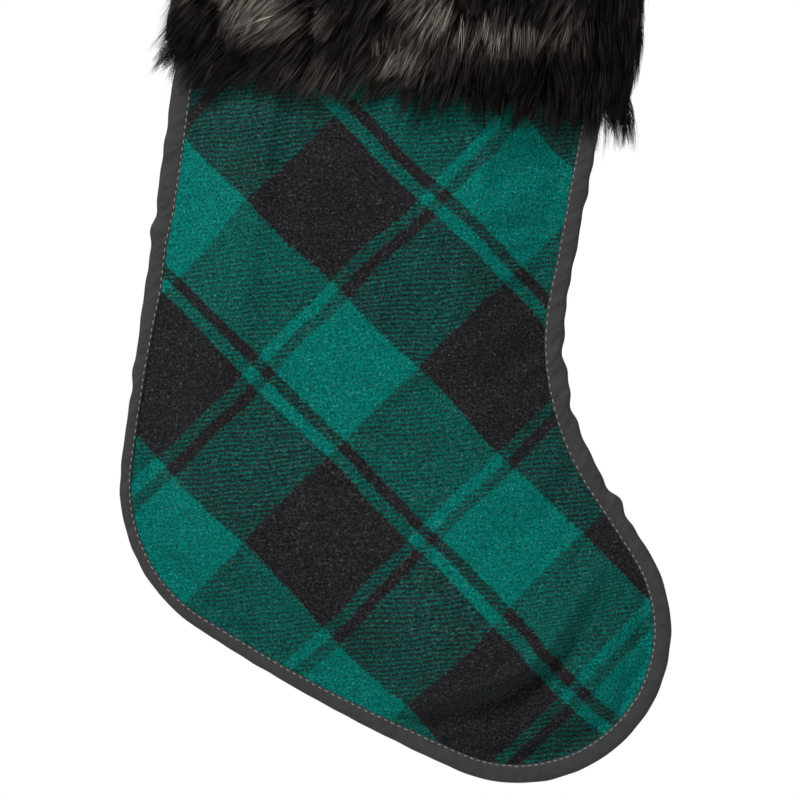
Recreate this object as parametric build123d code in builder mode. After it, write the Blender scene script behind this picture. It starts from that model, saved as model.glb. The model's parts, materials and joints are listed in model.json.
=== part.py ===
from build123d import *
from math import copysign, cos, pi, radians, sin
import os

# Hanging stocking, in millimetres. +Z is up, +X is towards the toe, and the front faces -Y.
# The origin is where the hook touches the inside of the hanging loop.
#
# The stocking is laid out in its own sewing frame, FACE: u runs across the leg towards the toe,
# v runs up the leg, and (0, 0) is at the middle of the cuff's top edge. FACE leans by HANG_LEAN.

HANG_LEAN = 7.7          # lean of the leg from upright, heel swung out to the left

# Sewn outline, measured to the outer edge of the binding
HEEL_SIDE = -115         # u of the straight heel side
HEEL_START = -307        # v where the heel begins to turn
HEEL_RADIUS = 85.5
HEEL_TURN = 64.5         # degrees
SOLE_RADIUS = 940
SOLE_TURN = 9
TOE_RADIUS = 76.3
TOE_TURN = 145.8
INSTEP_LENGTH = 44
ANKLE_RADIUS = 129.5
ANKLE_TURN = 42.4
TOE_SIDE_LENGTH = 235    # from the ankle to past the mouth, where it is trimmed
TOE_SIDE_TOP = 106       # u of the toe side at the mouth

# Cloth layers
PANEL = 1.8              # wool
LINING = 1.0
BINDING = 0.9            # one cheek of the folded tape
BINDING_WIDTH = 9.5
BINDING_SPINE = 1.2      # tape thickness round the outer edge
PUFF = 15                # how far each side bellies out at the middle
PUFF_REACH = 45          # distance in from the seam where the belly is full
SEAM_OPENING = 0.5       # half gap between the linings right at the seam
GRID = 11                # spacing of the points that shape the belly
BELLY_LEFT = -130        # the shaping points' reach, a little past the leg all round
BELLY_RIGHT = 185
BELLY_BOTTOM = -455
BELLY_TOLERANCE = 0.1    # how closely its smooth surface keeps to them
SKIRT = 40               # how far the layout runs past the mouth before it is trimmed
LAYOUT = 1200            # size of the sheet that the layout is trimmed with

# Stitching
THREAD = 0.5
MOUTH_SEAM_DROP = 6      # below the mouth
STITCH_INSET = 8.2       # binding topstitching, in from the outer edge

# Faux-fur cuff, pile included
CUFF_LEFT = -122
CUFF_RIGHT = 117
CUFF_HEIGHT = 106
CUFF_GAP = 1.2           # clear of the binding and the leg
CUFF_PILE = 15
CUFF_ROUND = 2.6         # exponent of the cuff's rounded outline in plan
CUFF_POINTS = 12         # points that shape each half of that outline
CUFF_EDGE = 5            # rounding of the pile at its top and bottom edges
CUFF_SIDE = 8            # from each side of the pile in to the end of its inner face
SIDE_BINDING_WIDTH = 7
SIDE_BINDING_LENGTH = 96
SIDE_BINDING_GAP = 0.2   # between it and the edge binding
SIDE_BINDING_ROUND = 2   # its rounded corners

# Hanging loop of folded tape
LOOP_U = -82             # the loop's place across the mouth, by the heel-side seam
LOOP_RISE = 8            # pivot height above the cuff's top edge
LOOP_DROP = 52           # pivot below the hook
LOOP_TAPE = 9            # tape width, along Y
LOOP_PLY = 1.6           # tape thickness
LOOP_HEAD = 10.6         # outer radius of the loop's head
LOOP_CLEARANCE = 0.3     # between the round fold at the pivot and the tails under it
TAIL_LENGTH = 26
TACK = 0.6               # thickness of the bar tack's thread
TACK_HEIGHT = 3
TACK_DROPS = (14, 25)    # below the pivot

LEAN_COS = cos(radians(HANG_LEAN))
LEAN_SIN = sin(radians(HANG_LEAN))
FACE = Plane(
    origin=(
        -LOOP_U * LEAN_COS - LOOP_RISE * LEAN_SIN,
        0,
        -LOOP_DROP + LOOP_U * LEAN_SIN - LOOP_RISE * LEAN_COS,
    ),
    x_dir=(LEAN_COS, 0, -LEAN_SIN),
    z_dir=(0, -1, 0),
)
PLAN = Plane(origin=FACE.origin, x_dir=FACE.x_dir, z_dir=FACE.y_dir)    # its y runs to the back
UPRIGHT = Plane(origin=(0, 0, 0), x_dir=(1, 0, 0), z_dir=(0, -1, 0))
FRONT = 1                # along FACE's normal, towards -Y
BACK = -1
STACK = PANEL + LINING   # one side's cloth inside the binding


def export(part, name):
    part.label = name
    export_step(part, "parts/" + name + ".step")


def outline(inset, lift=0):
    """The stocking's flat shape below the mouth, taken in from the sewn edge by inset."""
    with BuildSketch(FACE.offset(lift)) as shape:
        with BuildLine():
            heel_side = Line((HEEL_SIDE, SKIRT), (HEEL_SIDE, HEEL_START))
            heel = JernArc(heel_side @ 1, heel_side % 1, HEEL_RADIUS, HEEL_TURN)
            sole = JernArc(heel @ 1, heel % 1, SOLE_RADIUS, SOLE_TURN)
            toe = JernArc(sole @ 1, sole % 1, TOE_RADIUS, TOE_TURN)
            instep = Line(toe @ 1, toe @ 1 + (toe % 1) * INSTEP_LENGTH)
            ankle = JernArc(instep @ 1, instep % 1, ANKLE_RADIUS, -ANKLE_TURN)
            toe_side = Line(ankle @ 1, ankle @ 1 + (ankle % 1) * TOE_SIDE_LENGTH)
            Line(toe_side @ 1, heel_side @ 0)
        make_face()
        if inset > 0:
            offset(amount=-inset, kind=Kind.INTERSECTION)
        with Locations((0, -LAYOUT / 2)):
            Rectangle(LAYOUT, LAYOUT, mode=Mode.INTERSECT)
    return shape.sketch


WHOLE = outline(0)
CLOTH = outline(BINDING_SPINE)
POUCH = outline(BINDING_WIDTH)
POUCH_SEAM = [edge for edge in POUCH.edges() if FACE.to_local_coords(edge.center()).Y < -1]


def belly(u, v):
    """Height of the inside of the cloth above the seam's plane at (u, v)."""
    point = FACE.from_local_coords(Vector(u, min(v, -1), 0))
    if not POUCH.faces()[0].is_inside(point):
        return SEAM_OPENING
    reach = min(edge.distance_to(point) for edge in POUCH_SEAM)
    return SEAM_OPENING + PUFF * sin(pi / 2 * min(reach / PUFF_REACH, 1)) ** 2


def grid_line(low, high):
    """Evenly spaced numbers from low to high, about GRID apart."""
    count = round((high - low) / GRID) + 1
    return [low + (high - low) * i / (count - 1) for i in range(count)]


BELLY = [
    [(u, v, belly(u, v)) for v in grid_line(BELLY_BOTTOM, SKIRT)]
    for u in grid_line(BELLY_LEFT, BELLY_RIGHT)
]


def belly_sheet(side, lift):
    """The bellied surface on one side, lift above the inside of the cloth."""
    rows = [
        [FACE.from_local_coords(Vector(u, v, side * (height + lift))) for u, v, height in row]
        for row in BELLY
    ]
    return Face.make_surface_from_array_of_points(rows, tol=BELLY_TOLERANCE)


def cloth_side(name, side, lift, thickness):
    """One layer of cloth: bellied over the pouch, and flat in its rim inside the binding."""
    outward = FACE.z_dir * side
    with BuildPart() as rim:
        extrude(CLOTH, amount=thickness, dir=outward)
        extrude(POUCH, amount=thickness, dir=outward, mode=Mode.SUBTRACT)
    with BuildPart() as cloth:
        extrude(belly_sheet(side, lift), amount=thickness, dir=outward)
        extrude(POUCH, amount=LAYOUT, both=True, mode=Mode.INTERSECT)
        with Locations(outward * lift):
            add(rim.part)
    export(cloth.part, name)


def edge_binding():
    """Folded tape round the sewn edge: a spine round the outside and a cheek on each face."""
    with BuildPart() as binding:
        extrude(WHOLE, amount=STACK + BINDING, both=True)
        extrude(POUCH, amount=LAYOUT, both=True, mode=Mode.SUBTRACT)
        extrude(CLOTH, amount=STACK, both=True, mode=Mode.SUBTRACT)
    export(binding.part, "edge_binding")


def binding_stitching(name, side):
    """The row of topstitching that holds one cheek of the binding down."""
    outward = FACE.z_dir * side
    lift = side * (STACK + BINDING)
    with BuildPart() as stitching:
        extrude(outline(STITCH_INSET, lift), amount=THREAD, dir=outward)
        extrude(outline(STITCH_INSET + THREAD, lift), amount=THREAD, dir=outward, mode=Mode.SUBTRACT)
    export(stitching.part, name)


def cuff_side(name, side):
    """Half of the cuff, its pile included, as one thick shell over the top of the leg."""
    centre = (CUFF_LEFT + CUFF_RIGHT) / 2
    half_width = (CUFF_RIGHT - CUFF_LEFT) / 2
    skin = STACK + BINDING + CUFF_GAP
    depth = PUFF + CUFF_PILE
    across = grid_line(CUFF_LEFT + CUFF_SIDE, CUFF_RIGHT - CUFF_SIDE)
    inside = [(u, -side * (skin + belly(u, 0))) for u in across]
    outside = []
    for step in range(CUFF_POINTS + 1):
        angle = pi * step / CUFF_POINTS
        sideways = copysign(abs(cos(angle)) ** (2 / CUFF_ROUND), cos(angle))
        out = sin(angle) ** (2 / CUFF_ROUND)
        outside.append((centre + half_width * sideways, -side * (skin + depth * out)))
    with BuildPart() as cuff:
        with BuildSketch(PLAN):
            with BuildLine():
                outer = Spline(*outside)
                inner = Spline(*inside)
                Line(outer @ 1, inner @ 0)
                Line(inner @ 1, outer @ 0)
            make_face()
        extrude(amount=CUFF_HEIGHT, dir=-FACE.y_dir)
        ends = cuff.faces().filter_by(Plane(FACE.origin, z_dir=FACE.y_dir))
        rims = [end.edges().sort_by(lambda edge: edge.length)[-1] for end in ends]
        fillet(rims, radius=CUFF_EDGE)
    export(cuff.part, name)


def cuff_binding(name, edge_u, outward):
    """The bound edge of the cuff's side seam, a flat folded tape that stands out past the leg."""
    middle = edge_u + outward * (SIDE_BINDING_GAP + SIDE_BINDING_WIDTH / 2)
    with BuildPart() as tape:
        with BuildSketch(FACE):
            with Locations((middle, -SIDE_BINDING_LENGTH / 2)):
                RectangleRounded(SIDE_BINDING_WIDTH, SIDE_BINDING_LENGTH, SIDE_BINDING_ROUND)
        extrude(amount=STACK + BINDING, both=True)
    export(tape.part, name)


def loop_outline():
    """The hanging loop seen from the front: a round head that narrows to a fold at the pivot."""
    with BuildSketch(UPRIGHT) as teardrop:
        with Locations((0, LOOP_PLY - LOOP_HEAD)):
            Circle(LOOP_HEAD)
        with Locations((0, -LOOP_DROP)):
            Circle(LOOP_PLY)
        make_hull()
    return teardrop.sketch


def hanging_loop():
    loop_shape = loop_outline()
    with BuildSketch(UPRIGHT) as eye:
        add(loop_shape)
        offset(amount=-LOOP_PLY)
    with BuildPart() as loop:
        extrude(loop_shape, amount=LOOP_TAPE / 2, both=True)
        extrude(eye.sketch, amount=LOOP_TAPE, both=True, mode=Mode.SUBTRACT)
    export(loop.part, "hanging_loop")


def loop_tails():
    """The loop's two sewn ends, stacked, running down inside the mouth."""
    with BuildPart() as tails:
        with BuildSketch(FACE):
            with Locations((LOOP_U, LOOP_RISE - LOOP_PLY - LOOP_CLEARANCE)):
                Rectangle(2 * LOOP_PLY, TAIL_LENGTH, align=(Align.CENTER, Align.MAX))
        extrude(amount=LOOP_TAPE / 2, both=True)
    export(tails.part, "loop_tails")


def loop_tack():
    """Two bars of dense stitching across the tails."""
    with BuildPart() as tack:
        with BuildSketch(FACE):
            for drop in TACK_DROPS:
                with Locations((LOOP_U, LOOP_RISE - drop)):
                    Rectangle(2 * (LOOP_PLY + TACK), TACK_HEIGHT)
        extrude(amount=LOOP_TAPE / 2 + TACK, both=True)
        with BuildSketch(FACE):
            with Locations((LOOP_U, LOOP_RISE)):
                Rectangle(2 * LOOP_PLY, 3 * TAIL_LENGTH)
        extrude(amount=LOOP_TAPE / 2, both=True, mode=Mode.SUBTRACT)
    export(tack.part, "loop_tack")


def mouth_stitching():
    """The seam that joins the cuff to the leg, run round just above the cut edges."""
    skin = STACK + BINDING + CUFF_GAP
    ends_in = BINDING_WIDTH + GRID / 2
    across = grid_line(HEEL_SIDE + ends_in, TOE_SIDE_TOP - ends_in)
    with BuildPart() as stitching:
        for side in (FRONT, BACK):
            path = [(u, -side * (skin - 2 * THREAD + belly(u, 0))) for u in across]
            with BuildSketch(PLAN.offset(-MOUTH_SEAM_DROP)):
                with BuildLine():
                    near = Spline(*path)
                    far = Spline(*[(u, y + side * THREAD) for u, y in path])
                    Line(near @ 0, far @ 0)
                    Line(near @ 1, far @ 1)
                make_face()
            extrude(amount=THREAD)
    export(stitching.part, "mouth_stitching")


os.makedirs("parts", exist_ok=True)
cloth_side("front_lining", FRONT, 0, LINING)
cloth_side("front_panel", FRONT, LINING, PANEL)
cloth_side("back_lining", BACK, 0, LINING)
cloth_side("back_panel", BACK, LINING, PANEL)
edge_binding()
binding_stitching("binding_stitching_front", FRONT)
binding_stitching("binding_stitching_back", BACK)
cuff_side("cuff_front", FRONT)
cuff_side("cuff_back", BACK)
cuff_binding("cuff_binding_heel", HEEL_SIDE, -1)
cuff_binding("cuff_binding_toe", TOE_SIDE_TOP, 1)
mouth_stitching()
hanging_loop()
loop_tails()
loop_tack()
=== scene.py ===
"""A hanging stocking: plaid wool, bound edge, faux-fur cuff and tape loop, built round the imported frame."""

import json
import math

import bpy
import numpy as np
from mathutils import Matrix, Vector, geometry, kdtree

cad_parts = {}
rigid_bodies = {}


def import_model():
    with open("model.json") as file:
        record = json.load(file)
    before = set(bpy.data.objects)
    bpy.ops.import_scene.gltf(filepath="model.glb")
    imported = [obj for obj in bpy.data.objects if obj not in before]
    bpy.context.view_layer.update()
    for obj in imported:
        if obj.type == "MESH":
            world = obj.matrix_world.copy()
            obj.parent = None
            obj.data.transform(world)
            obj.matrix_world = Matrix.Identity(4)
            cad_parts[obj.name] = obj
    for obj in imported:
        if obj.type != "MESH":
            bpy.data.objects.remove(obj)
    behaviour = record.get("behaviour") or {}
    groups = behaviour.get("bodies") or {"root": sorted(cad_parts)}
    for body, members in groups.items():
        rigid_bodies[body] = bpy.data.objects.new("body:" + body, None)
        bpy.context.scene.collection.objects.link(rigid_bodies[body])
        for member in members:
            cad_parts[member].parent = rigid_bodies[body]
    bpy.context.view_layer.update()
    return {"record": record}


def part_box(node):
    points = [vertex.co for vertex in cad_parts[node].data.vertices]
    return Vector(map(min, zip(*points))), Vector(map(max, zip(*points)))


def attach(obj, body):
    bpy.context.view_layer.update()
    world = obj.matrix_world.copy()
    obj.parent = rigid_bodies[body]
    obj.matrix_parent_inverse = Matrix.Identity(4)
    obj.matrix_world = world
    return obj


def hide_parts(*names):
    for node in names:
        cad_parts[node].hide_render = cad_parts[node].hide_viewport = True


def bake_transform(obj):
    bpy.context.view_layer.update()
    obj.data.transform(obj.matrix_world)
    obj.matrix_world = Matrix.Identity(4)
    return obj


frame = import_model()

# ------------------------------------------------------------------ sizes, in millimetres
MM = 0.001
LEAN = math.radians(7.7)          # the leg's lean from upright

# The sewn outline in the sewing frame: u across the leg towards the toe, v up the leg from the mouth.
HEEL_SIDE = -115
TOE_SIDE = 106
SEAM_RUNS = (                     # length of a straight run, or radius and turn in degrees of an arc
    (307, None, 0),               # heel side
    (None, 85.5, 64.5),           # heel
    (None, 940, 9),               # sole
    (None, 76.3, 145.8),          # toe
    (44, None, 0),                # instep
    (None, 129.5, -42.4),         # ankle
    (193.2, None, 0),             # toe side
)
BINDING_WIDTH = 9.5
STACK = 2.8                       # wool and lining on one side of the seam's plane
LINING_FACE = 0.4                 # lining's inner face off the seam's plane, at the seam
PUFF = 15                         # how far each side bellies out
PUFF_REACH = 45                   # distance in from the seam where the belly is full
SEAM_OPENING = 0.5
LOOP_U = -82                      # the loop's place across the mouth
LOOP_RISE = 8                     # its fold above the mouth

# ------------------------------------------------------------------ the sewing frame
loop_joint = frame["record"]["behaviour"]["joints"][0]
PIVOT = np.array(loop_joint["pos_m"], float)
ACROSS = np.array([math.cos(LEAN), 0, -math.sin(LEAN)])
UP = np.array([math.sin(LEAN), 0, math.cos(LEAN)])
OUT = np.array([0, -1, 0])        # out of the front
ORIGIN = PIVOT - (ACROSS * LOOP_U + UP * LOOP_RISE) * MM
FRONT, BACK = 1, -1
STOCKING, LOOP = loop_joint["parent"], loop_joint["child"]


def place(u, v, out):
    """Points of the sewing frame, in millimetres, as places in the row frame, in metres."""
    u, v, out = (np.asarray(x, float)[..., None] for x in (u, v, out))
    return ORIGIN + (u * ACROSS + v * UP + out * OUT) * MM


def seam_curve(spacing, inset=0.0):
    """The sewn edge, taken in by inset, from the mouth's heel side round to its toe side.

    Returns its points, the inward normals and the distances along the edge, about spacing apart."""
    points, normals, along = [], [], []
    corner, heading, run = np.array([HEEL_SIDE, 0.0]), -math.pi / 2, 0.0
    for length, radius, turn in SEAM_RUNS:
        turn = math.radians(turn)
        if radius:
            length = abs(radius * turn)
            signed = math.copysign(radius, turn)
            centre = corner + signed * np.array([-math.sin(heading), math.cos(heading)])
        steps = max(1, round(length / spacing))
        for part in (np.arange(steps) + 0.5) / steps:
            angle = heading + turn * part
            inward = np.array([-math.sin(angle), math.cos(angle)])
            if radius:
                here = centre - signed * inward
            else:
                here = corner + length * part * np.array([math.cos(angle), math.sin(angle)])
            points.append(here + inset * inward)
            normals.append(inward)
            along.append(run + length * part)
        heading += turn
        if radius:
            corner = centre - signed * np.array([-math.sin(heading), math.cos(heading)])
        else:
            corner = corner + length * np.array([math.cos(heading), math.sin(heading)])
        run += length
    return np.array(points), np.array(normals), np.array(along)


def to_mouth(points):
    """A seam curve with the two corners added where it meets the mouth."""
    return np.vstack([[points[0, 0], 0], points, [points[-1, 0], 0]])


def inside(points, polygon):
    """Which points lie inside a closed polygon."""
    found = np.zeros(len(points), bool)
    for (x0, y0), (x1, y1) in zip(polygon, np.roll(polygon, -1, axis=0)):
        if y0 == y1:
            continue
        crosses = (y0 > points[:, 1]) != (y1 > points[:, 1])
        found ^= crosses & (points[:, 0] < x0 + (points[:, 1] - y0) * (x1 - x0) / (y1 - y0))
    return found


def distance_to(points, edge):
    """Distance from each point to the nearest point of an edge."""
    gaps = points[:, None, :] - edge[None, :, :]
    return np.sqrt((gaps**2).sum(2).min(1))


POUCH_EDGE = to_mouth(seam_curve(2.0, BINDING_WIDTH)[0])
REACH_CORNER, REACH_STEP = np.array([-132.0, -460.0]), 2.0
REACH_COUNT = 162, 231            # points across and up
REACH_PARTS = 30                  # worked out in parts, to save memory


def reach_table():
    """Distance in from the pouch's sewn edge, negative outside it, on an even grid that ends at the mouth."""
    rows = [corner + REACH_STEP * np.arange(count) for corner, count in zip(REACH_CORNER, REACH_COUNT)]
    points = np.stack(np.meshgrid(*rows, indexing="ij"), axis=-1).reshape(-1, 2)
    points[:, 1] = np.minimum(points[:, 1], -0.01)
    reach = np.concatenate([distance_to(part, POUCH_EDGE) for part in np.array_split(points, REACH_PARTS)])
    return np.where(inside(points, POUCH_EDGE), reach, -reach).reshape(REACH_COUNT)


REACH = reach_table()


def seam_reach(points):
    """How far in from the sewn seam each point lies, and 0 outside it."""
    spot = (np.minimum(points, [np.inf, -0.01]) - REACH_CORNER) / REACH_STEP
    spot = np.clip(spot, 0, np.array(REACH.shape) - 1.001)
    i, j = spot.astype(int).T
    a, b = (spot % 1).T
    near = REACH[i, j] * (1 - a) + REACH[i + 1, j] * a
    far = REACH[i, j + 1] * (1 - a) + REACH[i + 1, j + 1] * a
    return np.maximum(near * (1 - b) + far * b, 0)


def belly(points):
    """How far the inside of the cloth stands off the seam's plane, as in the CAD."""
    reach = seam_reach(points)
    return SEAM_OPENING * (reach > 0) + PUFF * np.sin(math.pi / 2 * np.minimum(reach / PUFF_REACH, 1)) ** 2


def wobble(x, lengths, seed):
    """A smooth random wave of x, about -1 to 1, made of the given wavelengths."""
    random = np.random.default_rng(seed)
    waves = [np.sin(2 * math.pi * (x / length + random.random())) for length in lengths]
    return sum(waves) / math.sqrt(len(lengths))


def smooth_step(x, low, high):
    t = np.clip((x - low) / (high - low), 0, 1)
    return t * t * (3 - 2 * t)


# ------------------------------------------------------------------ making pieces
def new_mesh(name, points, faces):
    mesh = bpy.data.meshes.new(name)
    mesh.from_pydata(np.asarray(points).tolist(), [], faces)
    mesh.polygons.foreach_set("use_smooth", np.ones(len(mesh.polygons), bool))
    mesh.update()
    return mesh


def new_piece(name, mesh, material, body=STOCKING):
    mesh.materials.append(material)
    piece = bpy.data.objects.new(name, mesh)
    bpy.context.scene.collection.objects.link(piece)
    if body:
        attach(piece, body)
    return piece


def ring_faces(rings, size, closed_ring=True):
    """Quads between rings of points that lie one after another, each of the given size."""
    faces = []
    for r in range(rings - 1):
        here, there = r * size, (r + 1) * size
        for k in range(size if closed_ring else size - 1):
            n = (k + 1) % size
            faces.append((here + k, here + n, there + n, there + k))
    return faces


def tube_faces(rings, size):
    """The faces of a tube of rings, closed at both ends."""
    last = (rings - 1) * size
    return ring_faces(rings, size) + [tuple(range(size - 1, -1, -1)), tuple(range(last, last + size))]


def turned(faces, side):
    """Faces wound to look outwards from the given side."""
    return faces if side == FRONT else [face[::-1] for face in faces]


def apply(piece, kind, **settings):
    modifier = piece.modifiers.new(kind.title(), kind)
    for name, value in settings.items():
        setattr(modifier, name, value)
    with bpy.context.temp_override(object=piece, active_object=piece):
        bpy.ops.object.modifier_apply(modifier=modifier.name)


def thicken(piece, thickness):
    """Gives a sheet its thickness, in millimetres, and rounds it."""
    apply(piece, "SOLIDIFY", thickness=thickness * MM, offset=-1)
    apply(piece, "SUBSURF", levels=1)


# ------------------------------------------------------------------ materials
NOISE_SPREAD = 2.4                # stretches noise, which keeps near its middle, to fill 0 to 1


class Shader:
    """One procedural material, built node by node. Sockets and plain values are both taken as inputs."""

    def __init__(self, name, constants):
        self.material = bpy.data.materials.new(name)
        self.material.use_nodes = True
        self.tree = self.material.node_tree
        self.principled = self.tree.nodes["Principled BSDF"]
        for socket, value in constants.items():
            self.principled.inputs[socket].default_value = value
        self.where = self.add("TexCoord").outputs["Object"]

    def add(self, kind, inputs=None, **settings):
        node = self.tree.nodes.new("ShaderNode" + kind)
        for name, value in settings.items():
            setattr(node, name, value)
        for key, value in (inputs or {}).items():
            self.feed(node.inputs[key], value)
        return node

    def feed(self, socket, value):
        if isinstance(value, bpy.types.NodeSocket):
            self.tree.links.new(value, socket)
        else:
            socket.default_value = value

    def math(self, operation, *values):
        return self.add("Math", dict(enumerate(values)), operation=operation).outputs[0]

    def along(self, axis, vector=None):
        """Distance along an axis of the row frame, in millimetres."""
        dot = self.add("VectorMath", {0: vector or self.where, 1: tuple(axis)}, operation="DOT_PRODUCT")
        return self.math("MULTIPLY", dot.outputs["Value"], 1 / MM)

    def noise(self, size, detail=2, stretch=(1, 1, 1), roughness=0.5):
        """Noise from 0 to 1 whose features are about size millimetres."""
        scaled = self.add("VectorMath", {0: self.where, 1: stretch}, operation="MULTIPLY").outputs[0]
        made = self.add(
            "TexNoise", {"Vector": scaled, "Scale": 1 / (size * MM), "Detail": detail, "Roughness": roughness}
        )
        spread = self.math("MULTIPLY_ADD", made.outputs["Fac"], NOISE_SPREAD, 0.5 - NOISE_SPREAD / 2)
        return self.add("Clamp", {0: spread}).outputs[0]

    def between(self, value, low, high):
        """Maps 0..1 to low..high."""
        return self.math("MULTIPLY_ADD", value, high - low, low)

    def steps(self, value, stops, softness):
        """A ramp that is 0 or 1 between the stops, (place, level) pairs, with soft edges."""
        node = self.add("ValToRGB", {0: value})
        ramp = node.color_ramp
        while len(ramp.elements) > 1:
            ramp.elements.remove(ramp.elements[0])
        first = True
        level_before = stops[-1][1]
        for spot, level in stops:
            for at, shade in ((spot - softness, level_before), (spot + softness, level)):
                at = min(max(at, 0), 1)
                element = ramp.elements[0] if first else ramp.elements.new(at)
                element.position, element.color = at, (shade, shade, shade, 1)
                first = False
            level_before = level
        return node.outputs["Color"]

    def blend(self, factor, a, b, how="MIX"):
        node = self.add("Mix", {0: factor, 6: a, 7: b}, data_type="RGBA", blend_type=how)
        return node.outputs[2]

    def bump(self, height, depth):
        """Relief of the given depth in millimetres."""
        inputs = {"Height": height, "Distance": depth * MM, "Strength": 1.0}
        return self.add("Bump", inputs).outputs["Normal"]

    def finish(self, colour=None, roughness=None, normal=None):
        for socket, value in (("Base Color", colour), ("Roughness", roughness), ("Normal", normal)):
            if value is not None:
                self.feed(self.principled.inputs[socket], value)
        return self.material


def rgb(*channels):
    """An sRGB colour of 0 to 255 as a linear one with full alpha."""
    linear = [(c / 255 / 12.92) if c <= 10 else ((c / 255 + 0.055) / 1.055) ** 2.4 for c in channels]
    return (*linear, 1)


PLAID_TURN = math.radians(-37.3)       # the first stripe direction, from across the leg
PLAID_ANCHOR = (22.1, -146.0)          # where both stripe patterns start
PLAID_REPEATS = (116.5, 124.5)         # the sett's two repeats
FIRST_STRIPES = ((0, 1), (0.0515, 0), (0.103, 1), (0.519, 0))     # 1 is green, 0 is black
SECOND_STRIPES = ((0, 0), (0.048, 1), (0.098, 0), (0.588, 1))
TWILL_PITCH = 2.3
TWILL_RISE = math.radians(5.5)           # the twill lines' rise, seen from the front


LAY = "lay"                            # the mesh's own record of how far its cloth has shifted in its plane


def plaid_wool():
    """Brushed twill in two colours, with the sett cut on the bias."""
    s = Shader("plaid_wool", {
        "Specular IOR Level": 0.04,
        "Sheen Weight": 0.05,
        "Sheen Roughness": 0.5,
        "Sheen Tint": rgb(120, 190, 175),
    })
    lay = s.add("Attribute", attribute_name=LAY).outputs["Vector"]
    s.where = s.add("VectorMath", {0: s.where, 1: lay}, operation="ADD").outputs[0]
    anchor = place(PLAID_ANCHOR[0], PLAID_ANCHOR[1], 0)
    stripes = []
    for k, (repeat, stops) in enumerate(zip(PLAID_REPEATS, (FIRST_STRIPES, SECOND_STRIPES))):
        turn = PLAID_TURN - k * math.pi / 2
        axis = ACROSS * math.cos(turn) + UP * math.sin(turn)
        drift = s.between(s.noise(55, 1), -1.6, 1.6)
        fray = s.between(s.noise(1.3, 2), -0.7, 0.7)
        place_along = s.math("SUBTRACT", s.along(axis), float(anchor @ axis) / MM)
        run = s.math("ADD", place_along, s.math("ADD", drift, fray))
        part = s.math("FRACT", s.math("DIVIDE", run, repeat))
        stripes.append(s.steps(part, stops, 0.0035))
    rise = np.array([-math.sin(TWILL_RISE), 0, math.cos(TWILL_RISE)])
    waver = s.between(s.noise(26, 2), -0.55, 0.55)
    lines = s.math("ADD", s.math("DIVIDE", s.along(rise), TWILL_PITCH), waver)
    wave = s.math("SINE", s.math("MULTIPLY", lines, 2 * math.pi))
    ragged = s.between(s.noise(0.9, 3, (0.5, 1, 1), 0.75), -0.62, 0.62)
    worn = s.between(s.noise(30, 2), 0.08, 0.34)
    twill = s.math("ADD", s.math("MULTIPLY_ADD", wave, 0.34, 0.5), s.math("ADD", ragged, worn))
    twill = s.between(s.add("Clamp", {0: twill}).outputs[0], 0.1, 0.9)
    yarn = s.blend(twill, stripes[0], stripes[1])
    fuzz = s.noise(1.1, 3, roughness=0.8)
    grain = s.noise(0.65, 1)
    strokes = s.math("MAXIMUM", s.noise(0.8, 2, (0.28, 1, 1)), s.noise(0.8, 2, (1, 1, 0.28)))
    cloud = s.noise(38, 2)
    green = s.blend(fuzz, rgb(0, 45, 38), rgb(10, 152, 137))
    green = s.blend(s.between(s.noise(2.4, 2), 0, 0.4), green, rgb(2, 92, 96))
    black = s.blend(s.math("POWER", fuzz, 1.3), rgb(1, 1, 2), rgb(62, 61, 64))
    black = s.blend(s.between(cloud, 0, 0.3), black, rgb(17, 16, 17))
    colour = s.blend(yarn, black, green)
    colour = s.blend(1.0, colour, s.between(grain, 0.45, 1.5), "MULTIPLY")
    # Painted shade: where the two stripe sets differ the twill's ribs show, and the colour is darkened by up
    # to a fifth for the shadow between them.
    twill_rib_shade = s.math("ABSOLUTE", s.math("SUBTRACT", stripes[0], stripes[1]))
    colour = s.blend(1.0, colour, s.between(twill_rib_shade, 1.0, 0.8), "MULTIPLY")
    lint = s.steps(s.noise(1.1, 2), ((0.0, 0), (0.95, 1)), 0.04)
    lint = s.math("MAXIMUM", lint, s.steps(strokes, ((0.0, 0), (0.96, 1)), 0.03))
    pale = s.blend(s.noise(3, 1), rgb(118, 126, 124), rgb(126, 122, 84))
    colour = s.blend(s.math("MULTIPLY", lint, s.between(fuzz, 0.0, 0.34)), colour, pale)
    relief = s.math("ADD", s.math("MULTIPLY", wave, 0.25), s.math("ADD", fuzz, strokes))
    return s.finish(colour, s.between(fuzz, 0.85, 1.0), s.bump(relief, 0.3))


def weave(s, size, axes=None):
    """A plain weave's over and under as a height from -1 to 1."""
    first, second = axes or (ACROSS, UP)
    a = s.math("SINE", s.math("MULTIPLY", s.along(first), 2 * math.pi / size))
    b = s.math("SINE", s.math("MULTIPLY", s.along(second), 2 * math.pi / size))
    return s.math("MULTIPLY", a, b)


def tape_cloth():
    """Charcoal bias tape: fine plain weave set on the diagonal, a little polished."""
    s = Shader("binding_tape", {"Specular IOR Level": 0.35, "Sheen Weight": 0.15, "Sheen Roughness": 0.4})
    threads = weave(s, 0.9, ((ACROSS + UP) / math.sqrt(2), (ACROSS - UP) / math.sqrt(2)))
    mottle = s.noise(9, 3)
    colour = s.blend(s.between(mottle, 0.2, 0.8), rgb(40, 40, 41), rgb(61, 61, 62))
    # Painted shade: the colour turns darker where the weave lies low, for the shadow in its hollows.
    colour = s.blend(s.between(threads, 0.85, 1.0), rgb(30, 30, 32), colour)
    creases = s.noise(5, 2)
    normal = s.bump(s.math("MULTIPLY_ADD", threads, 0.25, s.math("MULTIPLY", creases, 2.0)), 0.22)
    return s.finish(colour, s.between(mottle, 0.62, 0.78), normal)


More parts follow.
